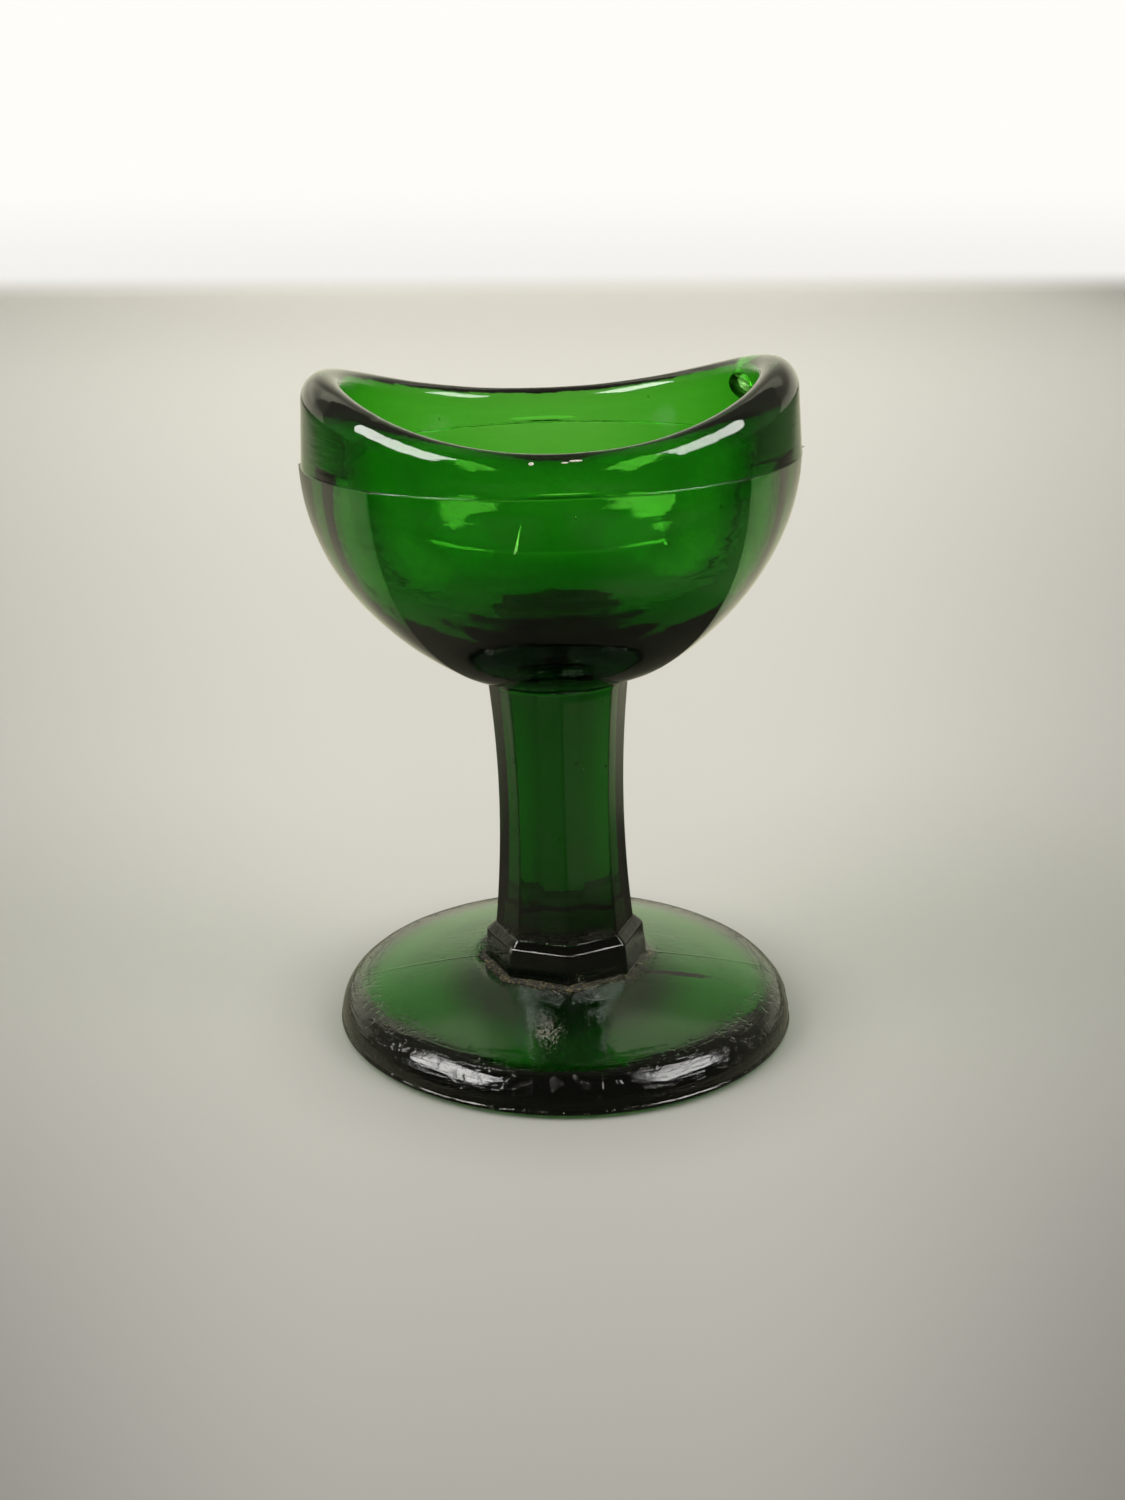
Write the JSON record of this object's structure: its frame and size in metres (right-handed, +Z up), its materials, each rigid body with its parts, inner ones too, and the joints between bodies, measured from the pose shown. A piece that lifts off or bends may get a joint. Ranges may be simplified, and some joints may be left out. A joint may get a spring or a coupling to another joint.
{
  "type": "eye bath",
  "caption": "Pedestal eye bath in green pressed glass: an oval cup with a saddle-shaped lip and panelled bowl on a waisted faceted stem and a round domed foot.",
  "frame": {"origin": "centre of the foot's underside, on the surface the eye bath stands on", "axes": "+Z up from the foot to the lip, +X along the long side of the oval bowl towards its right end, -Y the front"},
  "size_m": [0.0461, 0.0442, 0.064],
  "materials": {
    "green_glass": "clear bottle-green pressed glass, fire-polished, with small seeds and mould lines",
    "residue": "dry brown residue caught in the crease round the collar"
  },
  "bodies": {
    "root": {"foot": "green_glass", "stem_collar": "green_glass", "stem": "green_glass", "bowl": "green_glass", "rim_band": "green_glass"}
  },
  "joints": []
}
